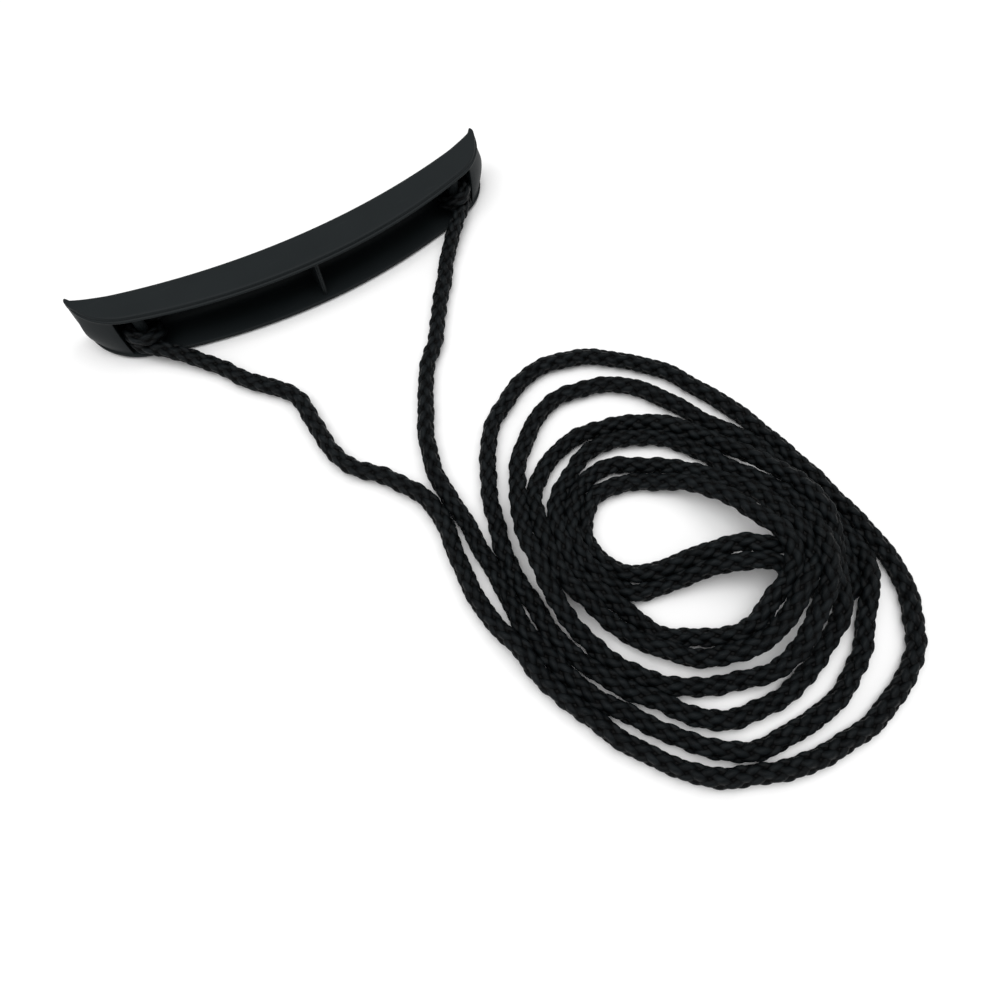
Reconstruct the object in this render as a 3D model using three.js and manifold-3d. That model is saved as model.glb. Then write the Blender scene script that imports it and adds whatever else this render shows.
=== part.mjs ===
// A tow rope handle: one moulded channel-section grip, and one braided rope whose two ends are
// hitched round posts inside the grip. The doubled rope lies beside the grip in a three-turn coil.
//
// Millimetres, +Z up. The grip lies flat on its bottom plate (z = 0), its length along X, its open
// side and its rope towards -Y. The origin is the middle of the grip's footprint.

import * as THREE from 'three';
import { mergeVertices } from 'three/addons/utils/BufferGeometryUtils.js';
import Module from 'manifold-3d';

const wasm = await Module();
wasm.setup();

// ---- Driving dimensions ----------------------------------------------------------------------

const HEIGHT = 22.5;            // bottom face to top face
const TIP_X = 93.7;             // half the distance from tip to tip of the plates
const CORNER_X = 76;            // where the long arcs give way to the end curves

const FOOTPRINT_DEPTH = 37.25;  // front edge at mid length to the bulge behind the tips
const PLATE_DEPTH = 18;         // at mid length
const FRONT_Y = -FOOTPRINT_DEPTH / 2;
const FRONT_RADIUS = 240;
const CORNER_RADIUS = 26;       // rounded front corners
const FRONT_LEAN = 2.2;         // how much further back the front is at the top than at the bottom
const BACK_Y = FRONT_Y + PLATE_DEPTH;
const BACK_RADIUS = 295;
const FLICK_RADIUS = 55;        // the back edge turns up a little more towards the tips

const BULGE = 3.6;              // how far the palm side stands out at mid height
const BULGE_RISE = 9;           // height over which it swells, from each plate
const SHOULDER = { x: 82.5, y: 15.4 };  // where the palm side's bulge starts to thin out to the tips
const TIP_BULGE = 0.1;          // how far the tips themselves stand out beyond the plates
const PLATE = 2.4;              // thickness of the plates and of the back web
const WEB_THICKENING = 0.3;     // extra thickness of the web at mid height
const CHANNEL_HALF = 81.5;      // half length of the channel; the ends beyond it are closed
const RIB_THICKNESS = 1.6;      // the middle rib
const RIB_SET_BACK = 1.9;       // from the front edge

const ROPE_DIAMETER = 6.4;
const ROPE_RADIUS = ROPE_DIAMETER / 2;
const ROPE_REST = ROPE_RADIUS + 0.1;                      // height of its middle on the surface
const GAP = 0.3;                                          // between pieces that touch

const POST = { x: 72.5, y: -0.8, radius: 2.2 };           // upright posts near the channel's ends
const HITCH = { bottom: 3, top: 14.4, radius: 7.9, chamfer: 1.5 };  // the rope's turns round a post

const COIL_CENTRE = { x: 56, y: -188 };
const COIL_HEIGHT = 2 * ROPE_DIAMETER + 0.2;

// The outermost and innermost strand of the coil, as radii from its centre at sixteen equal steps
// round the compass, anticlockwise from -X.
const COIL_OUTER = [68, 67, 72, 78, 81, 85, 82, 68, 59, 62, 70, 83, 91, 82, 68, 59];
const COIL_INNER = [32, 31, 33, 33, 37, 36, 36, 30, 26, 25, 25, 26, 31, 35, 36, 31];

// The two legs of the rope, from the hitches over the plate's edge and along the surface to the
// coil. A point without a height lies on the surface.
const LEFT_LEG = [
  [-70.2, -9.7, 6.2], [-65.8, -14, 5.7], [-59, -21.4, 4.4], [-51, -32],
  [-43, -44], [-36, -53], [-32, -63], [-32, -73], [-32, -83], [-30, -94], [-23, -104],
  [-15, -114], [-10.5, -124], [-10.5, -135], [-12, -147], [-14, -160], [-14, -175],
];
const RIGHT_LEG = [
  [70.2, -9.7, 6.2], [66, -13.7, 5.7], [61, -18.7, 5.1], [52, -29.4, 3.8], [42, -43], [29, -60],
  [19, -72], [10, -86], [1, -103], [-2.4, -114], [-2.8, -125], [-3.2, -136], [-4, -147], [-4, -157],
];

// The end of the doubled rope, two strands together, across the hole of the coil.
const BIGHT = [[31, -185], [35, -190.5], [42, -194], [50, -195.5], [58, -197], [65, -200.5], [73, -207]];
const BIGHT_RADIUS = 4.9;

// ---- Materials -------------------------------------------------------------------------------

const mouldedPlastic = new THREE.MeshStandardMaterial({ color: 0x1b2123, roughness: 0.5, metalness: 0 });
const braidedRope = new THREE.MeshStandardMaterial({ color: 0x0d1012, roughness: 0.85, metalness: 0 });

// ---- Solids and meshes -----------------------------------------------------------------------

function toSolid(geometry) {
  const bare = geometry.clone();
  bare.deleteAttribute('normal');
  bare.deleteAttribute('uv');
  const merged = mergeVertices(bare, 1e-4);
  return new wasm.Manifold(new wasm.Mesh({
    numProp: 3,
    vertProperties: new Float32Array(merged.attributes.position.array),
    triVerts: new Uint32Array(merged.index.array),
  }));
}

function toGeometry(solid) {
  const mesh = solid.getMesh();
  const geometry = new THREE.BufferGeometry();
  geometry.setAttribute('position', new THREE.BufferAttribute(new Float32Array(mesh.vertProperties), 3));
  geometry.setIndex(new THREE.BufferAttribute(new Uint32Array(mesh.triVerts), 1));
  geometry.computeVertexNormals();
  return geometry;
}

function namedMesh(name, geometry, material) {
  const mesh = new THREE.Mesh(geometry, material);
  mesh.name = name;
  return mesh;
}

// ---- The grip's plan curves ------------------------------------------------------------------

// y on an arc whose lowest point is (0, bottom), at a given x.
function arcY(bottom, radius, x) {
  return bottom + radius - Math.sqrt(radius ** 2 - x ** 2);
}

// The right half of a long arc up to CORNER_X, then a tighter arc tangent to it up to endX.
function plateEdge(bottom, radius, endRadius, endX, longSteps, endSteps) {
  const heading = Math.asin(CORNER_X / radius);
  const cornerY = arcY(bottom, radius, CORNER_X);
  const centreX = CORNER_X - endRadius * Math.sin(heading);
  const centreY = cornerY + endRadius * Math.cos(heading);
  const endHeading = Math.asin(Math.min(1, (endX - centreX) / endRadius));
  const points = [];
  for (let i = 0; i < longSteps; i += 1) {
    const x = CORNER_X * i / longSteps;
    points.push(new THREE.Vector2(x, arcY(bottom, radius, x)));
  }
  for (let i = 0; i <= endSteps; i += 1) {
    const turn = heading + (endHeading - heading) * i / endSteps;
    const x = centreX + endRadius * Math.sin(turn);
    const y = centreY - endRadius * Math.cos(turn);
    points.push(new THREE.Vector2(x, y));
  }
  return points;
}

// The whole edge, from the left end to the right, out of its right half.
function mirrored(half) {
  const left = half.slice(1).reverse().map((p) => new THREE.Vector2(-p.x, p.y));
  return [...left, ...half];
}

// The same edge shifted sideways by a distance, positive towards +Y.
function shifted(edge, distance) {
  return edge.map((p, i) => {
    const before = edge[Math.max(0, i - 1)];
    const after = edge[Math.min(edge.length - 1, i + 1)];
    const along = after.clone().sub(before).normalize();
    return new THREE.Vector2(p.x - along.y * distance, p.y + along.x * distance);
  });
}

const frontEdge = mirrored(plateEdge(FRONT_Y, FRONT_RADIUS, CORNER_RADIUS, TIP_X, 12, 8));
const backEdge = mirrored(plateEdge(BACK_Y, BACK_RADIUS, FLICK_RADIUS, TIP_X, 10, 4));

function prism(outline, bottom, top) {
  const geometry = new THREE.ExtrudeGeometry(new THREE.Shape(outline), {
    depth: top - bottom, bevelEnabled: false, steps: 1,
  });
  return toSolid(geometry.translate(0, 0, bottom));
}

// A prism whose sides swell outwards by swell at mid height.
function swollenPrism(outline, bottom, top, swell, rise) {
  const geometry = new THREE.ExtrudeGeometry(new THREE.Shape(outline), {
    depth: top - bottom - 2 * rise,
    steps: 1,
    bevelEnabled: true,
    bevelThickness: rise,
    bevelSize: swell,
    bevelSegments: 5,
  });
  return toSolid(geometry.translate(0, 0, bottom + rise));
}

// ---- The grip --------------------------------------------------------------------------------

// Everything behind the leaning front.
function behindFront() {
  const farX = TIP_X + TIP_BULGE;
  const farY = 60;
  const outline = [...frontEdge, new THREE.Vector2(farX, farY), new THREE.Vector2(-farX, farY)];
  const geometry = new THREE.ExtrudeGeometry(new THREE.Shape(outline), {
    depth: HEIGHT + 2, bevelEnabled: false, steps: 1,
  });
  geometry.translate(0, 0, -1);
  geometry.applyMatrix4(new THREE.Matrix4().makeShear(0, 0, 0, 0, 0, FRONT_LEAN / HEIGHT));
  return toSolid(geometry);
}

// The plan that the palm side's bulge keeps to as it thins out towards the tips.
function thinnedTips() {
  const farX = TIP_X + TIP_BULGE;
  const backY = FOOTPRINT_DEPTH / 2;
  const frontY = -FOOTPRINT_DEPTH;
  const outline = [
    [-farX, frontY], [farX, frontY], [farX, backY], [SHOULDER.x, SHOULDER.y],
    [-SHOULDER.x, SHOULDER.y], [-farX, backY],
  ];
  return prism(outline.map((p) => new THREE.Vector2(...p)), -1, HEIGHT + 1);
}

function outerBody() {
  const outline = [...frontEdge, ...backEdge.slice().reverse()];
  const body = swollenPrism(outline, 0, HEIGHT, BULGE, BULGE_RISE);
  return body.intersect(behindFront()).intersect(thinnedTips());
}

// The channel, open to the front. Its back swells like the palm side, so the web keeps its thickness.
function channel() {
  const openY = FRONT_Y - 15;
  const bottom = PLATE;
  const top = HEIGHT - PLATE;
  const back = shifted(backEdge, -PLATE).filter((p) => Math.abs(p.x) < CHANNEL_HALF - 1);
  const endY = back[0].y - 1;
  const outline = [
    new THREE.Vector2(-CHANNEL_HALF, openY),
    new THREE.Vector2(CHANNEL_HALF, openY),
    new THREE.Vector2(CHANNEL_HALF, endY),
    ...back.reverse(),
    new THREE.Vector2(-CHANNEL_HALF, endY),
  ];
  const swollen = swollenPrism(outline, bottom, top, BULGE - WEB_THICKENING, BULGE_RISE - PLATE);
  const span = new THREE.BoxGeometry(2 * CHANNEL_HALF, 80, top - bottom).translate(0, 0, HEIGHT / 2);
  return swollen.intersect(toSolid(span));
}

function middleRib() {
  const depth = 24;
  const rib = new THREE.BoxGeometry(RIB_THICKNESS, depth, HEIGHT - PLATE);
  return toSolid(rib.translate(0, FRONT_Y + RIB_SET_BACK + depth / 2, HEIGHT / 2));
}

function anchorPost(side) {
  const post = new THREE.CylinderGeometry(POST.radius, POST.radius, HEIGHT - PLATE, 24);
  return toSolid(post.rotateX(Math.PI / 2).translate(side * POST.x, POST.y, HEIGHT / 2));
}

function gripMoulding() {
  const body = outerBody();
  const shell = body.subtract(channel());
  const inner = anchorPost(-1).add(anchorPost(1)).add(middleRib());
  return toGeometry(shell.add(inner.intersect(body)));
}

// ---- The rope --------------------------------------------------------------------------------

function roundTube(points, radius, sides, steps) {
  const section = new THREE.Shape();
  for (let i = 0; i < sides; i += 1) {
    const turn = 2 * Math.PI * i / sides;
    const x = radius * Math.cos(turn);
    const y = radius * Math.sin(turn);
    if (i === 0) section.moveTo(x, y);
    else section.lineTo(x, y);
  }
  section.closePath();
  const path = new THREE.CatmullRomCurve3(points, false, 'centripetal');
  return new THREE.ExtrudeGeometry(section, { steps, extrudePath: path, bevelEnabled: false });
}

function ropeLeg(leg) {
  const points = leg.map(([x, y, z = ROPE_REST]) => new THREE.Vector3(x, y, z));
  return roundTube(points, ROPE_RADIUS, 10, 44);
}

function ropeBight() {
  return roundTube(BIGHT.map(([x, y]) => new THREE.Vector3(x, y, BIGHT_RADIUS)), BIGHT_RADIUS, 10, 16);
}

// A plain collar of the hitch's size round a post.
function ropeHitch() {
  const inner = POST.radius + GAP;
  const { bottom, top, radius, chamfer } = HITCH;
  const profile = [
    [inner, bottom], [radius - chamfer, bottom], [radius, bottom + chamfer],
    [radius, top - chamfer], [radius - chamfer, top], [inner, top], [inner, bottom],
  ];
  return new THREE.LatheGeometry(profile.map((p) => new THREE.Vector2(...p)), 24).rotateX(Math.PI / 2);
}

function compassLoop(radii, grow, pointCount) {
  const corners = radii.map((radius, i) => {
    const turn = Math.PI + 2 * Math.PI * i / radii.length;
    const reach = radius + grow;
    return new THREE.Vector3(COIL_CENTRE.x + reach * Math.cos(turn), COIL_CENTRE.y + reach * Math.sin(turn), 0);
  });
  const loop = new THREE.CatmullRomCurve3(corners, true, 'centripetal');
  return loop.getPoints(pointCount).slice(0, -1).map((p) => new THREE.Vector2(p.x, p.y));
}

function ropeCoil() {
  const round = 2.5;
  const ring = new THREE.Shape(compassLoop(COIL_OUTER, ROPE_RADIUS - round, 64));
  ring.holes.push(new THREE.Path(compassLoop(COIL_INNER, round - ROPE_RADIUS, 48)));
  return new THREE.ExtrudeGeometry(ring, {
    depth: COIL_HEIGHT - 2 * round,
    steps: 1,
    bevelEnabled: true,
    bevelThickness: round,
    bevelSize: round,
    bevelSegments: 2,
  }).translate(0, 0, round);
}

// ---- Assembly --------------------------------------------------------------------------------

const towRopeHandle = new THREE.Group();
towRopeHandle.add(namedMesh('grip_moulding', gripMoulding(), mouldedPlastic));

for (const [side, name] of [[-1, 'left'], [1, 'right']]) {
  const hitch = namedMesh(`rope_hitch_${name}`, ropeHitch(), braidedRope);
  hitch.position.set(side * POST.x, POST.y, 0);
  towRopeHandle.add(hitch);
}

towRopeHandle.add(namedMesh('rope_leg_left', ropeLeg(LEFT_LEG), braidedRope));
towRopeHandle.add(namedMesh('rope_leg_right', ropeLeg(RIGHT_LEG), braidedRope));
towRopeHandle.add(namedMesh('rope_coil', ropeCoil(), braidedRope));
towRopeHandle.add(namedMesh('rope_bight', ropeBight(), braidedRope));

export default towRopeHandle;
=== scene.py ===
"""A tow rope handle: a black moulded grip of channel section, and a black braided rope.

The rope's two ends are wound round posts inside the grip. The doubled rope runs out over the
grip's lower lip and lies beside it in a loose coil of three turns, with the bight at its end
across the coil's hole. Shapes are worked out in millimetres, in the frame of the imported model.
"""

import math

import bmesh
import bpy
import numpy as np
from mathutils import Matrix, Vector


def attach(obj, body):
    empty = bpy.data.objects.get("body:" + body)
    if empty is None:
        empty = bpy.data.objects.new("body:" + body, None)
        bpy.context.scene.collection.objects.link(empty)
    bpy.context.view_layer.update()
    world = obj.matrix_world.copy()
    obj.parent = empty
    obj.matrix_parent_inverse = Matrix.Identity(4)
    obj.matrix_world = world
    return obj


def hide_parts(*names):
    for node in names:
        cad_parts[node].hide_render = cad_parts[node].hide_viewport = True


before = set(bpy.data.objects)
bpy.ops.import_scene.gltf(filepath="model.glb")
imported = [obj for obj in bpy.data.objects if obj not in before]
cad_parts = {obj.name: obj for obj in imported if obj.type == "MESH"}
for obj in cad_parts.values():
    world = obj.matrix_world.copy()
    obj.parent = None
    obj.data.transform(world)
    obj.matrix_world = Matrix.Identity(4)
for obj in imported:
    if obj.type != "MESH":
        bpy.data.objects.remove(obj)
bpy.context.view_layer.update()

MM = 0.001

# ---- Sizes, in millimetres -------------------------------------------------------------------

HEIGHT = 22.5                     # of the grip, bottom face to top face
PLATE = 2.4                       # thickness of its two plates and of the web between them
CORNER_X = 76                     # where the long arcs of its plan give way to the end curves
TIP_X = 93.7
THINNING_X = 82                   # from here the palm side's bulge dies away towards the tip
LAST_OPEN_X = 80.9                # the last of the even stations along the open channel
LAST_EVEN_X = 84                  # the stations past it crowd together towards the nose
# The nose that closes each tip: the last station's heading on the front edge, in degrees, and its
# place on the back edge, then how far and which way the nose runs out past that station.
NOSE = {"front_heading": 77, "back_x": 91.4, "reach": 2.8, "way": (0.42, 0.91)}
FRONT_EDGE = {"bottom": -18.625, "radius": 240, "end_radius": 26}
BACK_EDGE = {"bottom": -0.625, "radius": 295, "end_radius": 55}
FRONT_LEAN = 2.2                  # how much further back the front is at the top
BULGE = 3.6                       # of the palm side at mid height
BULGE_RISE = 9
TIP_BULGE = 0.7
FULL_LIP_DEPTH = 7                # where the grip is shallower than this, its lips and web thin out
WEB_THICKENING = 0.3
CHANNEL_HALF = 81.5               # half length of the open channel
MOUTH_SET_BACK = 0.6              # of the channel's mouth behind the front line
FACE_SET_BACK = 0.85              # of the closed faces past its ends, at the plates,
FACE_SWELL = 0.4                  # how far they stand forward of that at mid height,
FACE_TIP_SWELL = 2.0              # and how much more near the tip
RIB_THICKNESS = 1.6
RIB_SET_BACK = 1.9
RIB_BACK_Y = 1.0                  # its back end, inside the web
RIB_ROUNDING = 0.6                # of its front edges
POST = {"x": 72.5, "y": -0.8, "radius": 2.2}
POST_FOOT = [(3.2, 0), (2.7, 0.25), (2.35, 0.7)]   # its fillet: (radius, height above the plate)
POST_FOOT_HEIGHT = 1.4
POST_FOOT_SUNK = 3.4              # radius of the stretch inside the plate
SUNK = 0.8                        # how far the rib and the posts reach into the plates

ROPE_DIAMETER = 6.4
ROPE_RADIUS = ROPE_DIAMETER / 2
HITCH_ROPE_RADIUS = 2.75          # the rope is pulled thinner where it is wound round a post
HITCH_RADIUS = 5.15               # middle of the rope, round the post
HITCH_PITCH = 5.4
HITCH_LOW = 6.0                   # height of the rope's middle where it first meets the post
HITCH_START = -47                 # degrees round the post, where the leg's end meets it
HITCH_TURN = 507                  # degrees that it goes round, and then there is a short tail
ROPE_REST = ROPE_RADIUS + 0.3     # height of the rope's middle where it lies on the surface
ROPE_CONTACT = 5.9                # distance between the middles of two strands pressed together

BRAID_PITCH = 28.8                # one turn of a carrier round the rope
BRAID_CARRIERS = 4                # in each direction, passing one over and one under
BRAID_FULLNESS = 0.80             # width of a carrier's strand as a share of its spacing
BRAID_STRAND = 1.3                # relief of a strand's round section
BRAID_WAVE = 0.75                 # how far a strand rises and dips between crossings
BRAID_RELIEF = 0.62               # share of that relief that the mesh takes
BRAID_CROWN = 3.5                 # radius of the rope over the highest strands
BRAID_CORE = 0.25                 # height of the rope's core between the strands
OFF_STRAND = 9                    # taken off a strand's height past its edges, so the other one shows

WANDERINGS = ((0.30, 47, 0.4), (0.26, 29, 2.1), (0.16, 17.3, 4.4))   # (size, wave length, phase)
STEADY_END = 30                   # they die away over this length at the rope's two ends

PLAN_STEP = 3.0                   # spacing of the route's samples: while strands are pushed apart,
LAY_STEP = 1.8                    # while heights are found,
ROPE_STEP = 0.88                  # and in the finished rope

# The rope's route, from the left post to the right one. The legs and the bight are points on the
# surface, (x, y) or (x, y, z) where the rope is off it. The coil's passes are radii round its
# centre at sixteen equal steps of the compass, anticlockwise from -X. A belongs to the left leg,
# B to the right one, and the first pass is the outermost.
LEFT_LEG = [
    (-70.2, -9.7, 6.2), (-65.8, -14, 5.7), (-59, -21.4, 4.4), (-51, -32),
    (-43, -44), (-36, -53), (-32, -63), (-32, -73), (-32, -83), (-30, -94), (-23, -104),
    (-15, -114), (-10.5, -124), (-10.5, -135), (-12, -147), (-14, -160), (-14, -175),
]
RIGHT_LEG = [
    (70.2, -9.7, 6.2), (66, -13.7, 5.7), (61, -18.7, 5.1), (52, -29.4, 3.8), (42, -43), (29, -60),
    (19, -72), (10, -86), (1, -103), (-2.4, -114), (-2.8, -125), (-3.2, -136), (-4, -147),
    (-4, -157), (-5, -172),
]
COIL_CENTRE = (56, -188)
PASSES_A = [
    [68, 67, 72, 78, 81, 85, 82, 68, 59, 62, 70, 83, 91, 82, 68, 59],
    [55, 54, 55, 60, 60, 58, 55, 51, 48, 47, 47, 52, 56, 57, 52, 45],
    [38, 37, 38, 40, 42, 42, 42, 39, 35, 32, 32, 34, 39, 41, 39, 35],
]
PASSES_B = [
    [62, 61, 63, 70, 71, 70, 66, 61, 56, 55, 57, 70, 75, 68, 57, 50],
    [48, 48, 49, 49, 52, 50, 48, 46, 43, 40, 44, 47, 49, 46, 42, 37],
    [32, 31, 33, 33, 37, 36, 36, 30, 26, 25, 25, 26, 31, 35, 36, 31],
]
BIGHT_A = [(25.3, -182), (29.5, -188.8), (37, -194.2), (47, -197), (57, -198.8), (64, -201.2),
           (72, -205.5), (79, -210.5)]
BIGHT_B = [(29.3, -182), (34, -188), (41, -192.2), (49, -194.3), (58, -196), (66, -198.6),
           (74.5, -203.2), (82, -208.5)]
BIGHT_TURN = {"centre": (95, -221), "heading": -41, "radius": 11}


# ---- Curves ----------------------------------------------------------------------------------


def spline(points, step):
    """Points about step apart along the natural cubic spline through the given ones."""
    p = np.asarray(points, float)
    t = np.concatenate([[0], np.cumsum(np.linalg.norm(np.diff(p, axis=0), axis=1))])
    h = np.diff(t)
    n = len(p)
    system = np.eye(n)
    right = np.zeros_like(p)
    for i in range(1, n - 1):
        system[i, i - 1 : i + 2] = h[i - 1], 2 * (h[i - 1] + h[i]), h[i]
        right[i] = 6 * ((p[i + 1] - p[i]) / h[i] - (p[i] - p[i - 1]) / h[i - 1])
    bend = np.linalg.solve(system, right)
    fine = np.linspace(0, t[-1], max(4 * n, int(4 * t[-1] / step)))
    k = np.clip(np.searchsorted(t, fine) - 1, 0, n - 2)
    a = (t[k + 1] - fine)[:, None]
    b = (fine - t[k])[:, None]
    hk = h[k][:, None]
    curve = (
        bend[k] * a**3 / (6 * hk) + bend[k + 1] * b**3 / (6 * hk)
        + (p[k] / hk - bend[k] * hk / 6) * a + (p[k + 1] / hk - bend[k + 1] * hk / 6) * b
    )
    return resample(curve, step)


def lengths(curve):
    """Distance along a polyline at each of its points."""
    return np.concatenate([[0], np.cumsum(np.linalg.norm(np.diff(curve, axis=0), axis=1))])


def resample(curve, step):
    """The same polyline with evenly spaced points."""
    along = lengths(curve)
    count = max(3, int(round(along[-1] / step)) + 1)
    even = np.linspace(0, along[-1], count)
    return np.stack([np.interp(even, along, curve[:, c]) for c in range(curve.shape[1])], axis=1)


def soften(values, reach):
    """Gaussian smoothing along the first axis, with reach in samples; the ends stay in place."""
    half = int(3 * reach) + 1
    weights = np.exp(-0.5 * (np.arange(-half, half + 1) / reach) ** 2)
    weights /= weights.sum()
    columns = values.reshape(len(values), -1)
    padded = np.vstack([
        2 * columns[0] - columns[half:0:-1], columns, 2 * columns[-1] - columns[-2 : -half - 2 : -1],
    ])
    smooth = [np.convolve(padded[:, c], weights, "valid") for c in range(columns.shape[1])]
    return np.stack(smooth, axis=1).reshape(values.shape)


# ---- The rope's route ------------------------------------------------------------------------


def coil_points(passes):
    """Points of the coil, one pass after another."""
    cx, cy = COIL_CENTRE
    points = []
    for radii in passes:
        for i, radius in enumerate(radii):
            turn = math.pi + 2 * math.pi * i / len(radii)
            points.append((cx + radius * math.cos(turn), cy + radius * math.sin(turn)))
    return points


def bight_turn():
    """The teardrop at the end of the doubled rope, from the A strand round to the B strand."""
    cx, cy = BIGHT_TURN["centre"]
    radius = BIGHT_TURN["radius"]
    heading = math.radians(BIGHT_TURN["heading"])
    points = []
    for turn in (70, 110, 150, 180, 210, 250, 290):
        way = heading + math.pi + math.radians(turn)
        points.append((cx + radius * math.cos(way), cy + radius * math.sin(way)))
    return points


def plan_route():
    """Every point of the route in order, with its height where it is off the surface."""
    left = LEFT_LEG + coil_points(PASSES_A) + BIGHT_A
    right = RIGHT_LEG + coil_points(PASSES_B) + BIGHT_B
    points = left + bight_turn() + right[::-1]
    return np.array([(p[0], p[1], p[2] if len(p) > 2 else ROPE_REST) for p in points])


def near_pairs(route, reach, apart):
    """Pairs of samples, far apart along the rope, that are closer than reach in plan."""
    along = lengths(route)
    gap = route[:, None, :2] - route[None, :, :2]
    distance = np.hypot(gap[..., 0], gap[..., 1])
    far = np.abs(along[:, None] - along[None, :]) > apart
    return gap, distance, far & (distance < reach)


def make_room(route, rounds=14, most=2.6):
    """Strands that only just overlap in plan shoulder each other aside until they lie side by side."""
    start = route.copy()
    for _ in range(rounds):
        gap, distance, near = near_pairs(route, ROPE_CONTACT, 4 * ROPE_DIAMETER)
        beside = near & (distance > 0.5 * ROPE_CONTACT)
        push = np.where(beside, (ROPE_CONTACT - distance) / (distance + 1e-6), 0)
        count = np.maximum(beside.sum(1), 1)
        move = 0.5 * np.einsum("ij,ijk->ik", push, gap) / count[:, None]
        move = soften(move, 2.0)
        route = route.copy()
        route[:, :2] += move
        shift = route[:, :2] - start[:, :2]
        size = np.linalg.norm(shift, axis=1, keepdims=True)
        route[:, :2] = start[:, :2] + shift * np.minimum(1, most / np.maximum(size, 1e-6))
    return route


def lay_down(route, step, rounds=16, steepest=0.32):
    """Heights of the rope where it rests on itself. The bight was laid first and the legs last."""
    along = lengths(route)
    middle = bight_middle(route)
    order = np.abs(along - along[middle])
    order[:middle] += 0.5
    base = route[:, 2].copy()
    _, distance, near = near_pairs(route, ROPE_CONTACT, 4 * ROPE_DIAMETER)
    below = near & (order[None, :] < order[:, None])
    rise = np.sqrt(np.maximum(ROPE_CONTACT**2 - distance**2, 0))
    slope = steepest * np.abs(along[:, None] - along[None, :])
    close = slope < 4 * ROPE_DIAMETER
    height = base.copy()
    for _ in range(rounds):
        rests = np.where(below, height[None, :] + rise, 0).max(1)
        need = np.maximum(base, rests)
        eased = np.where(close, need[None, :] - slope, 0).max(1)
        height = soften(np.maximum(eased, base), 4.0 / step)
    return np.maximum(height, base - 0.05)


def bight_middle(route):
    """The sample at the far end of the bight's turn."""
    cx, cy = BIGHT_TURN["centre"]
    radius = BIGHT_TURN["radius"]
    heading = math.radians(BIGHT_TURN["heading"])
    far_x = cx + radius * math.cos(heading)
    far_y = cy + radius * math.sin(heading)
    away = np.hypot(route[:, 0] - far_x, route[:, 1] - far_y)
    off_middle = np.abs(np.arange(len(route)) - len(route) / 2)
    return int(np.argmin(away + 0.2 * off_middle))


def unsettle(route):
    """Small sideways wanderings, as in a rope that keeps a memory of its old bends."""
    along = lengths(route)
    heading = np.gradient(route[:, :2], axis=0)
    heading /= np.linalg.norm(heading, axis=1, keepdims=True)
    square = np.stack([-heading[:, 1], heading[:, 0]], axis=1)
    drift = sum(size * np.sin(2 * math.pi * along / wave + start) for size, wave, start in WANDERINGS)
    ends = np.clip(np.minimum(along, along[-1] - along) / STEADY_END, 0, 1)
    moved = route.copy()
    moved[:, :2] += square * (drift * ends)[:, None]
    return moved


def rope_route():
    """The rope's centreline as fine, evenly spaced points."""
    coarse = make_room(spline(plan_route(), PLAN_STEP))
    route = resample(spline(coarse, LAY_STEP), LAY_STEP)
    route = unsettle(route)
    route[:, 2] = lay_down(route, LAY_STEP)
    return spline(route[::2], ROPE_STEP)


# ---- Meshes ----------------------------------------------------------------------------------


def mesh_object(name, vertices, faces, uvs=None):
    """A mesh object of points in millimetres, with a uv per face corner if given."""
    mesh = bpy.data.meshes.new(name)
    mesh.from_pydata((np.asarray(vertices) * MM).tolist(), [], faces)
    if uvs is not None:
        layer = mesh.uv_layers.new(name="braid")
        layer.data.foreach_set("uv", np.asarray(uvs, float).ravel())
    mesh.update()
    piece = bpy.data.objects.new(name, mesh)
    bpy.context.scene.collection.objects.link(piece)
    return piece


def shade_smooth(piece, sharp_angle):
    """Smooth shading, with a crease wherever two faces meet at more than sharp_angle degrees."""
    shape = bmesh.new()
    shape.from_mesh(piece.data)
    for face in shape.faces:
        face.smooth = True
    for edge in shape.edges:
        edge.smooth = len(edge.link_faces) == 2 and edge.calc_face_angle() < math.radians(sharp_angle)
    shape.to_mesh(piece.data)
    shape.free()


# ---- The rope's surface ----------------------------------------------------------------------


def braid_height(right_hand, left_hand):
    """Relief of a one-over-one braid of plump strands, in millimetres, 0 on the highest crowns and
    less in the pits between them. The arguments count the carriers of either hand."""

    def strand_height(across, along, sense):
        section = 1 - ((2 * (across - np.floor(across)) - 1) / BRAID_FULLNESS) ** 2
        wave = sense * np.cos(math.pi * np.floor(across)) * np.sin(math.pi * along)
        rounded = BRAID_STRAND * np.sqrt(np.maximum(section, 0))
        return rounded + BRAID_WAVE * wave - OFF_STRAND * (section <= 0)

    height = np.maximum(strand_height(right_hand, left_hand, 1), strand_height(left_hand, right_hand, -1))
    return BRAID_RELIEF * (np.maximum(height, BRAID_CORE) - BRAID_STRAND - BRAID_WAVE)


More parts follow.
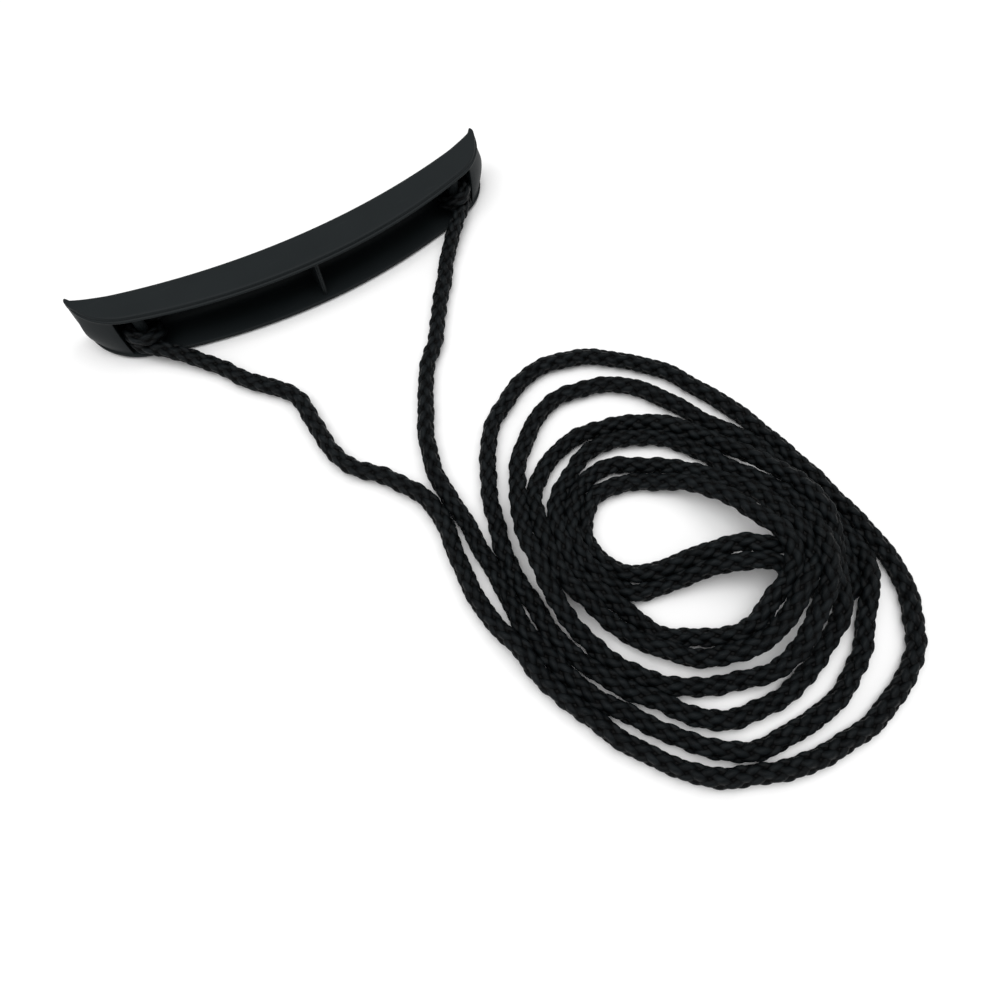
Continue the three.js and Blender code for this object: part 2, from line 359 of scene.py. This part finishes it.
class Strand:
    """The whole rope's centreline with its braid, from which pieces of braided rope are cut."""

    around = 28
    twist = 0.5

    def __init__(self, centreline, radius):
        self.centre = centreline
        self.radius = radius
        self.along = lengths(centreline)
        self.tangent = np.gradient(centreline, axis=0)
        self.tangent /= np.linalg.norm(self.tangent, axis=1, keepdims=True)
        normal = np.array([0.0, 0.0, 1.0]) - self.tangent[:, 2:] * self.tangent
        self.normal = normal / np.linalg.norm(normal, axis=1, keepdims=True)
        self.side = np.cross(self.tangent, self.normal)

    def piece(self, name, first, last):
        """The rope from one sample to another as a closed tube with the braid's relief."""
        part = slice(first, last + 1)
        along = self.along[part]
        count = len(along)
        around = self.around
        wander = self.twist * (np.sin(along / 91) + 0.6 * np.sin(along / 37 + 1.3))
        turn = np.arange(around + 1) / around
        right_hand = BRAID_CARRIERS * (turn[None, :] + along[:, None] / BRAID_PITCH)
        left_hand = BRAID_CARRIERS * (along[:, None] / BRAID_PITCH - turn[None, :])
        relief = braid_height(right_hand, left_hand)
        swell = 1 + 0.02 * np.sin(along / 13.7) + 0.015 * np.sin(along / 5.3 + 0.7)
        scale = self.radius[part] / ROPE_RADIUS
        reach = (BRAID_CROWN * swell[:, None] + relief) * scale[:, None]
        angle = 2 * math.pi * turn[None, :] + wander[:, None]
        ring = (
            self.centre[part][:, None, :]
            + (reach * np.cos(angle))[..., None] * self.normal[part][:, None, :]
            + (reach * np.sin(angle))[..., None] * self.side[part][:, None, :]
        )[:, :around]
        vertices = ring.reshape(-1, 3).tolist()
        faces = []
        uvs = []
        for i in range(count - 1):
            for j in range(around):
                k = (j + 1) % around
                faces.append((i * around + j, i * around + k, (i + 1) * around + k, (i + 1) * around + j))
                for a, b in ((i, j), (i, j + 1), (i + 1, j + 1), (i + 1, j)):
                    uvs.append((right_hand[a, b], left_hand[a, b]))
        for end, first_corner in ((0, 0), (count - 1, (count - 1) * around)):
            tip = len(vertices)
            vertices.append(self.centre[part][end].tolist())
            for j in range(around):
                k = (j + 1) % around
                corners = (j, k) if end else (k, j)
                faces.append((first_corner + corners[0], first_corner + corners[1], tip))
                uvs += [(right_hand[end, j], left_hand[end, j])] * 3
        made = mesh_object(name, vertices, faces, uvs)
        shade_smooth(made, 75)
        return made


def hitch_path(side):
    """The rope's end past the leg: 1.4 rising turns round the post, and a short tail along the web.
    It starts next to the leg's end; side is -1 on the left and 1 on the right."""
    last_turn = HITCH_START + HITCH_TURN
    steps = np.linspace(HITCH_START, last_turn, 60)
    turned = (steps - HITCH_START) / 360
    rise = np.clip((turned - 0.5) / 0.44, 0, 1)
    x = POST["x"] + HITCH_RADIUS * np.cos(np.radians(steps))
    y = POST["y"] + HITCH_RADIUS * np.sin(np.radians(steps))
    z = HITCH_LOW + HITCH_PITCH * rise
    turns = np.stack([x, y, z], axis=1)
    turns[:, 2] = soften(turns[:, 2:], 3)[:, 0]
    heading = math.radians(last_turn + 90)
    way = np.array([math.cos(heading), math.sin(heading), 0])
    tail = [turns[-1] + reach * way for reach in (2, 4, 6, 8)]
    path = np.vstack([turns, tail])
    path[:, 0] *= side
    return path


def whole_centreline(route):
    """The route with the rope's two wound ends, and how many samples each of the three has."""
    leads = []
    for side, leg_end in ((-1, route[0]), (1, route[-1])):
        leads.append(spline(np.vstack([leg_end, hitch_path(side)]), ROPE_STEP)[1:])
    centre = np.vstack([leads[0][::-1], route, leads[1]])
    return centre, len(leads[0]), len(leads[1])


def rope_thickness(count, left, right):
    """Radius at each sample: thinner round the posts, tapering to a melted point at the two ends."""
    radius = np.full(count, ROPE_RADIUS)
    ease = 10
    for samples, flip in ((left, False), (right, True)):
        wound = np.full(samples, HITCH_ROPE_RADIUS)
        wound[-ease:] = np.linspace(HITCH_ROPE_RADIUS, ROPE_RADIUS, ease)
        wound[:3] *= np.array([0.55, 0.82, 0.95])
        if flip:
            radius[count - samples :] = wound[::-1]
        else:
            radius[:samples] = wound
    return radius


# ---- The grip --------------------------------------------------------------------------------


class PlanEdge:
    """One long edge of the grip's plan: an arc up to CORNER_X, then a tighter one tangent to it."""

    def __init__(self, bottom, radius, end_radius):
        self.bottom = bottom
        self.radius = radius
        self.end_radius = end_radius
        self.corner = math.asin(CORNER_X / radius)
        self.end_x = CORNER_X - end_radius * math.sin(self.corner)
        corner_y = bottom + radius * (1 - math.cos(self.corner))
        self.end_y = corner_y + end_radius * math.cos(self.corner)

    def heading(self, x):
        long_arc = np.arcsin(np.clip(x / self.radius, -1, 1))
        end_arc = np.arcsin(np.clip((x - self.end_x) / self.end_radius, -1, 1))
        return np.where(x <= CORNER_X, long_arc, end_arc)

    def at(self, heading):
        """Points and the directions square to the edge, towards the palm side."""
        on_end = heading > self.corner
        x = np.where(on_end, self.end_x + self.end_radius * np.sin(heading), self.radius * np.sin(heading))
        y = np.where(
            on_end,
            self.end_y - self.end_radius * np.cos(heading),
            self.bottom + self.radius * (1 - np.cos(heading)),
        )
        square = np.stack([-np.sin(heading), np.cos(heading)], axis=1)
        return np.stack([x, y], axis=1), square


def grip_stations():
    """The right half's stations from the middle to the tip: for each, its two edge points with their
    directions, how far it is towards the tip, and how closed the channel is there."""
    front = PlanEdge(**FRONT_EDGE)
    back = PlanEdge(**BACK_EDGE)
    plain = np.linspace(0, LAST_OPEN_X, 66)
    end_wall = CHANNEL_HALF + np.array([-0.01, 0.01, 0.12, 0.35, 0.75])
    before_tip = np.array([82.8, LAST_EVEN_X])
    x = np.concatenate([plain, end_wall, before_tip])
    closed = np.concatenate([np.zeros(len(plain) + 1), [0.9, 0.96, 0.99, 1.0], np.ones(len(before_tip))])
    tip_steps = 26
    q = (np.arange(tip_steps) + 1) / tip_steps
    front_start = front.heading(np.array(float(LAST_EVEN_X)))
    front_tip = math.radians(NOSE["front_heading"])
    front_heading = np.concatenate([front.heading(x), front_start + q * (front_tip - front_start)])
    back_x = np.concatenate([x, LAST_EVEN_X + q * (NOSE["back_x"] - LAST_EVEN_X)])
    closed = np.concatenate([closed, np.ones(tip_steps)])
    towards_tip = np.clip((back_x - THINNING_X) / (TIP_X - THINNING_X), 0, 1)
    return front.at(front_heading), back.at(back.heading(back_x)), towards_tip, closed


# The lip of the top plate, as (distance behind the front line, height): a small upper edge set back
# over a ledge. The bottom plate's lip is its mirror image.
LIP = [
    (2.2, 22.5), (1.5, 22.48), (1.12, 22.36), (0.86, 22.1), (0.78, 21.75), (0.8, 21.42), (0.72, 21.2),
    (0.5, 21.1), (0.22, 21.04), (0.05, 20.86), (0.0, 20.6), (0.06, 20.34), (0.26, 20.15), (0.6, 20.1),
]


def grip_ring(front, front_square, back, back_square, towards_tip, closed):
    """The closed outline of one section, as points in space, starting at the top plate's lip."""
    depth = np.linalg.norm(back - front)
    narrow = min(1.0, (depth / FULL_LIP_DEPTH) ** 3)
    bulge = BULGE + (TIP_BULGE - BULGE) * towards_tip**1.5
    points = []

    def place(plan, z, lean):
        points.append((plan[0], plan[1] + FRONT_LEAN * z / HEIGHT * lean, z))

    def lip_point(set_back, z):
        place(front + front_square * set_back * narrow, z, 1)

    for set_back, z in LIP:
        lip_point(set_back, z)

    # the channel: along its ceiling, down the web, and back along its floor
    ceiling = HEIGHT - PLATE
    inner_rise = BULGE_RISE - PLATE
    inner_bulge = BULGE - WEB_THICKENING
    chain = [(m, ceiling, 0) for m in (0.12, 0.35, 0.6, 0.85)]
    for t in np.linspace(0, math.pi / 2, 7):
        chain.append((1, ceiling - inner_rise * (1 - math.cos(t)), inner_bulge * math.sin(t)))
    upper = chain[:]
    chain += [(m, HEIGHT - z, b) for m, z, b in reversed(upper)]
    mouth = front + front_square * MOUTH_SET_BACK * narrow
    web = back - back_square * PLATE * narrow
    for i, (m, z, swell) in enumerate(chain):
        open_plan = mouth + (web - mouth) * m + back_square * swell
        open_lean = 1 - m
        share = (i + 1) / (len(chain) + 1)
        face_z = ceiling + (PLATE - ceiling) * share
        swelling = FACE_SWELL + FACE_TIP_SWELL * min(1, 1.6 * towards_tip)
        set_back = FACE_SET_BACK - swelling * math.sin(math.pi * share)
        face_plan = front + front_square * set_back * narrow
        plan = open_plan + (face_plan - open_plan) * closed
        lean = open_lean + (1 - open_lean) * closed
        place(plan, z + (face_z - z) * closed, lean)

    for set_back, z in reversed(LIP):
        lip_point(set_back, HEIGHT - z)

    # the bottom plate, up the bulging palm side, and back over the top plate
    across = (0.15, 0.32, 0.5, 0.68, 0.85)
    under = front + front_square * LIP[0][0] * narrow
    for m in across:
        place(under + (back - under) * m, 0, 1 - m)
    quarter = np.linspace(0, math.pi / 2, 13)
    rounding = [(BULGE_RISE * (1 - math.cos(t)), bulge * math.sin(t)) for t in quarter]
    palm = rounding + [(HEIGHT / 2, bulge)] + [(HEIGHT - z, b) for z, b in reversed(rounding)]
    for z, b in palm:
        place(back + back_square * b, z, 0)
    for m in reversed(across):
        place(under + (back - under) * m, HEIGHT, 1 - m)
    return np.array(points)


def rounded_end(ring, back):
    """More rings past the last one that close the tip with a round nose next to the back edge."""
    middle = ring.copy()
    middle[:, :2] = back + 0.2 * (ring[:, :2].mean(axis=0) - back)
    middle[:, 2] = HEIGHT / 2 + (ring[:, 2] - HEIGHT / 2) * 0.97
    outwards = NOSE["reach"] * np.array([*NOSE["way"], 0.0])
    turns = np.radians((15, 30, 45, 60, 73, 85))
    return [ring + (middle - ring) * (1 - math.cos(t)) + outwards * math.sin(t) for t in turns]


def grip_shell():
    """The moulding without its inner rib and posts."""
    (front, front_square), (back, back_square), towards_tip, closed = grip_stations()
    right = [
        grip_ring(front[i], front_square[i], back[i], back_square[i], towards_tip[i], closed[i])
        for i in range(len(front))
    ]
    right += rounded_end(right[-1], back[-1])
    mirror = np.array([-1.0, 1.0, 1.0])
    rings = [ring * mirror for ring in reversed(right[1:])] + right
    count = len(rings[0])
    faces = []
    for i in range(len(rings) - 1):
        for j in range(count):
            k = (j + 1) % count
            faces.append((i * count + j, (i + 1) * count + j, (i + 1) * count + k, i * count + k))
    faces.append(tuple(reversed(range(count))))
    faces.append(tuple((len(rings) - 1) * count + j for j in range(count)))
    shell = mesh_object("tow_grip", np.vstack(rings), faces)
    shape = bmesh.new()
    shape.from_mesh(shell.data)
    bmesh.ops.recalc_face_normals(shape, faces=shape.faces)
    shape.to_mesh(shell.data)
    shape.free()
    return shell


def inner_parts():
    """The middle rib and the two posts, a little longer than the channel is high."""
    low = PLATE - SUNK
    high = HEIGHT - low
    front_y = FRONT_EDGE["bottom"] + RIB_SET_BACK
    shape = bmesh.new()
    bmesh.ops.create_cube(shape, size=1)
    for corner in shape.verts:
        is_back = corner.co.y > 0
        z = high if corner.co.z > 0 else low
        y = RIB_BACK_Y if is_back else front_y + FRONT_LEAN * z / HEIGHT
        corner.co = Vector((corner.co.x * RIB_THICKNESS, y, z))
    front_edges = [
        e for e in shape.edges
        if all(v.co.y < 0 for v in e.verts) and abs(e.verts[0].co.z - e.verts[1].co.z) > 1
    ]
    bmesh.ops.bevel(shape, geom=front_edges, offset=RIB_ROUNDING, segments=4, affect="EDGES")
    outline = [(0, low), (POST_FOOT_SUNK, low)]
    outline += [(r, PLATE + above) for r, above in POST_FOOT]
    outline += [(POST["radius"], PLATE + POST_FOOT_HEIGHT)]
    outline += [(r, HEIGHT - z) for r, z in reversed(outline)]
    for side in (-1, 1):
        centre = Vector((side * POST["x"], POST["y"], 0))
        ends = [shape.verts.new(centre + Vector((r, 0, z))) for r, z in outline]
        edges = [shape.edges.new(pair) for pair in zip(ends, ends[1:])]
        bmesh.ops.spin(
            shape, geom=ends + edges, cent=centre, axis=(0, 0, 1), angle=2 * math.pi, steps=32,
            use_merge=True,
        )
    bmesh.ops.remove_doubles(shape, verts=shape.verts, dist=1e-4)
    bmesh.ops.recalc_face_normals(shape, faces=shape.faces)
    bmesh.ops.scale(shape, vec=(MM, MM, MM), verts=shape.verts)
    mesh = bpy.data.meshes.new("inner_parts")
    shape.to_mesh(mesh)
    shape.free()
    parts = bpy.data.objects.new("inner_parts", mesh)
    bpy.context.scene.collection.objects.link(parts)
    return parts


def make_grip():
    grip = grip_shell()
    parts = inner_parts()
    join = grip.modifiers.new("join", "BOOLEAN")
    join.operation = "UNION"
    join.solver = "EXACT"
    join.object = parts
    evaluated = grip.evaluated_get(bpy.context.evaluated_depsgraph_get())
    joined = bpy.data.meshes.new_from_object(evaluated)
    grip.modifiers.remove(join)
    grip.data = joined
    bpy.data.objects.remove(parts)
    shade_smooth(grip, 38)
    return grip


# ---- Materials -------------------------------------------------------------------------------


class Look:
    """A material's node tree, with short calls that add nodes and join them up."""

    def __init__(self, name):
        self.material = bpy.data.materials.new(name)
        self.material.use_nodes = True
        self.tree = self.material.node_tree
        self.shader = self.tree.nodes["Principled BSDF"]

    def node(self, kind, inputs, **settings):
        made = self.tree.nodes.new(kind)
        for key, value in settings.items():
            setattr(made, key, value)
        for key, value in inputs.items():
            self.feed(made.inputs[key], value)
        return made

    def feed(self, socket, value):
        if isinstance(value, bpy.types.NodeSocket):
            self.tree.links.new(value, socket)
        else:
            socket.default_value = value

    def maths(self, operation, *values):
        inputs = dict(enumerate(values))
        return self.node("ShaderNodeMath", inputs, operation=operation).outputs[0]

    def ramp(self, value, low, high, bottom, top):
        inputs = {"Value": value, "From Min": low, "From Max": high, "To Min": bottom, "To Max": top}
        return self.node("ShaderNodeMapRange", inputs).outputs[0]

    def mix(self, share, one, other):
        made = self.node("ShaderNodeMix", {0: share, 6: one, 7: other}, data_type="RGBA")
        return made.outputs[2]

    def noise(self, where, scale, detail=2.0, roughness=0.5):
        inputs = {"Vector": where, "Scale": scale, "Detail": detail, "Roughness": roughness}
        return self.node("ShaderNodeTexNoise", inputs).outputs[0]


def plastic_look():
    """Nearly matt black moulded plastic: a fine spark texture, faint cloudiness and a few scuffs."""
    look = Look("moulded_black_plastic")
    where = look.node("ShaderNodeTexCoord", {}).outputs["Object"]
    cloud = look.noise(where, 45, 3)
    grain = look.noise(where, 2600, 3, 0.6)
    orange_peel = look.noise(where, 420, 1)
    stretched = look.node(
        "ShaderNodeMapping", {"Vector": where, "Scale": (60, 900, 300), "Rotation": (0, 0, 0.35)},
    ).outputs[0]
    scuffs = look.ramp(look.noise(stretched, 1, 2), 0.68, 0.78, 0, 1)
    base = look.mix(cloud, (0.0085, 0.0110, 0.0120, 1), (0.0120, 0.0152, 0.0164, 1))
    base = look.mix(look.maths("MULTIPLY", scuffs, 0.25), base, (0.035, 0.038, 0.040, 1))
    rough = look.maths("ADD", look.ramp(cloud, 0.3, 0.7, 0.40, 0.50), look.maths("MULTIPLY", grain, 0.08))
    height = look.maths("ADD", look.maths("MULTIPLY", grain, 0.6), look.maths("MULTIPLY", orange_peel, 0.9))
    bump = look.node("ShaderNodeBump", {"Height": height, "Strength": 0.35, "Distance": 0.00006})
    look.feed(look.shader.inputs["Base Color"], base)
    look.feed(look.shader.inputs["Roughness"], rough)
    look.feed(look.shader.inputs["Normal"], bump.outputs[0])
    look.shader.inputs["Specular IOR Level"].default_value = 0.10
    return look.material


def rope_look():
    """Black braided polypropylene. The uv map counts the braid's carriers, so the fine filaments run
    along whichever carrier is on top, and each carrier's float has its own shade."""
    look = Look("black_braided_rope")
    uv = look.node("ShaderNodeUVMap", {}, uv_map="braid").outputs[0]
    split = look.node("ShaderNodeSeparateXYZ", {0: uv}).outputs
    u = split[0]
    v = split[1]

    def strand_height(across, along, sense):
        centred = look.maths("MULTIPLY_ADD", look.maths("FRACT", across), 2, -1)
        share = look.maths("DIVIDE", centred, BRAID_FULLNESS)
        section = look.maths("SUBTRACT", 1, look.maths("MULTIPLY", share, share))
        rounded = look.maths("SQRT", look.maths("MAXIMUM", section, 0))
        parity = look.maths("COSINE", look.maths("MULTIPLY", look.maths("FLOOR", across), math.pi))
        wave = look.maths("MULTIPLY", parity, look.maths("SINE", look.maths("MULTIPLY", along, math.pi)))
        lifted = look.maths("MULTIPLY", wave, sense * BRAID_WAVE)
        outside = look.maths("MULTIPLY", look.maths("LESS_THAN", section, 0), -OFF_STRAND)
        return look.maths("ADD", look.maths("MULTIPLY_ADD", rounded, BRAID_STRAND, lifted), outside)

    right = strand_height(u, v, 1)
    left = strand_height(v, u, -1)
    height = look.maths("MAXIMUM", look.maths("MAXIMUM", right, left), BRAID_CORE)
    right_on_top = look.maths("GREATER_THAN", right, left)

    def pick(one, other):
        spread = look.maths("SUBTRACT", one, other)
        return look.maths("MULTIPLY_ADD", spread, right_on_top, other)

    across = pick(u, v)
    along = pick(v, u)
    filament_place = look.node(
        "ShaderNodeCombineXYZ",
        {0: look.maths("MULTIPLY", across, 17), 1: look.maths("MULTIPLY", along, 1.3), 2: right_on_top},
    ).outputs[0]
    filaments = look.noise(filament_place, 1, 2, 0.6)
    float_number = look.maths("FLOOR", look.maths("MULTIPLY_ADD", along, 0.5, 0.25))
    float_place = look.node(
        "ShaderNodeCombineXYZ", {0: look.maths("FLOOR", across), 1: float_number, 2: right_on_top},
    ).outputs[0]
    shade = look.node("ShaderNodeTexWhiteNoise", {"Vector": float_place}).outputs["Value"]
    where = look.node("ShaderNodeTexCoord", {}).outputs["Object"]
    cloud = look.noise(where, 60, 2)

    lit = look.mix(shade, (0.0018, 0.0026, 0.0032, 1), (0.0062, 0.0082, 0.0094, 1))
    # Painted highlight: a lighter colour streaked along the filaments of whichever strand is on top.
    lit = look.mix(look.ramp(filaments, 0.52, 0.78, 0, 0.6), lit, (0.0135, 0.0165, 0.018, 1))
    # Painted shade: the colour goes to near black in the pits between the strands, following the braid's
    # height, and keeps the float's colour on the crowns.
    base = look.mix(look.ramp(height, 0.7, 1.7, 0, 1), (0.0003, 0.0004, 0.0005, 1), lit)
    rough = look.maths("ADD", look.ramp(filaments, 0.3, 0.7, 0.40, 0.56), look.maths("MULTIPLY", cloud, 0.1))
    relief = look.maths("MULTIPLY_ADD", filaments, 0.28, height)
    bump = look.node("ShaderNodeBump", {"Height": relief, "Strength": 0.9, "Distance": 0.0006})
    look.feed(look.shader.inputs["Base Color"], base)
    look.feed(look.shader.inputs["Roughness"], rough)
    look.feed(look.shader.inputs["Normal"], bump.outputs[0])
    look.shader.inputs["Specular IOR Level"].default_value = 0.09
    return look.material


# ---- Camera, floor and lights ----------------------------------------------------------------


def make_camera():
    data = bpy.data.cameras.new("camera")
    data.lens = 25.2
    data.sensor_width = 36
    data.clip_start = 0.01
    camera = bpy.data.objects.new("camera", data)
    camera.location = (-0.0445, -0.2303, 0.240)
    camera.rotation_euler = (math.radians(24.5), 0, math.radians(-31.7))
    bpy.context.scene.collection.objects.link(camera)
    bpy.context.scene.camera = camera


LAMPS = (                         # name, place in metres, size, watts
    ("key", (-0.40, -0.05, 1.15), 1.0, 8),
    ("fill", (0.45, -0.05, 1.15), 1.0, 6.5),
)
LAMPS_AIM = (0.02, -0.12, 0)


def make_stage():
    bpy.ops.mesh.primitive_plane_add(size=6, location=(0, 0, 0))
    floor = bpy.context.active_object
    floor.name = "floor"
    paper = bpy.data.materials.new("paper")
    paper.use_nodes = True
    shader = paper.node_tree.nodes["Principled BSDF"]
    shader.inputs["Base Color"].default_value = (0.95, 0.95, 0.95, 1)
    shader.inputs["Roughness"].default_value = 0.9
    floor.data.materials.append(paper)
    world = bpy.data.worlds.new("studio")
    world.use_nodes = True
    sky = world.node_tree.nodes["Background"]
    sky.inputs["Color"].default_value = (1, 1, 1, 1)
    sky.inputs["Strength"].default_value = 0.45
    bpy.context.scene.world = world
    for name, place, size, power in LAMPS:
        data = bpy.data.lights.new(name, "AREA")
        data.size = size
        data.energy = power
        lamp = bpy.data.objects.new(name, data)
        lamp.location = place
        aim = Vector(LAMPS_AIM) - Vector(place)
        lamp.rotation_euler = aim.to_track_quat("-Z", "Y").to_euler()
        bpy.context.scene.collection.objects.link(lamp)
    bpy.context.scene.view_settings.view_transform = "Standard"


# ---- Making the pieces -----------------------------------------------------------------------

make_camera()
make_stage()
plastic = plastic_look()
braid = rope_look()

route = rope_route()
centre, left_count, right_count = whole_centreline(route)
strand = Strand(centre, rope_thickness(len(centre), left_count, right_count))
left_end = left_count
right_end = left_count + len(route) - 1
turns_left = strand.piece("rope_turns_left", 0, left_end)
turns_right = strand.piece("rope_turns_right", right_end, len(centre) - 1)
rope = strand.piece("braided_rope", left_end, right_end)
for piece, nodes in (
    (turns_left, ["rope_hitch_left"]),
    (turns_right, ["rope_hitch_right"]),
    (rope, ["rope_leg_left", "rope_leg_right", "rope_coil", "rope_bight"]),
):
    piece.data.materials.append(braid)
    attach(piece, "root")
    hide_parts(*nodes)

grip = make_grip()
grip.data.materials.clear()
grip.data.materials.append(plastic)
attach(grip, "root")
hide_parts("grip_moulding")
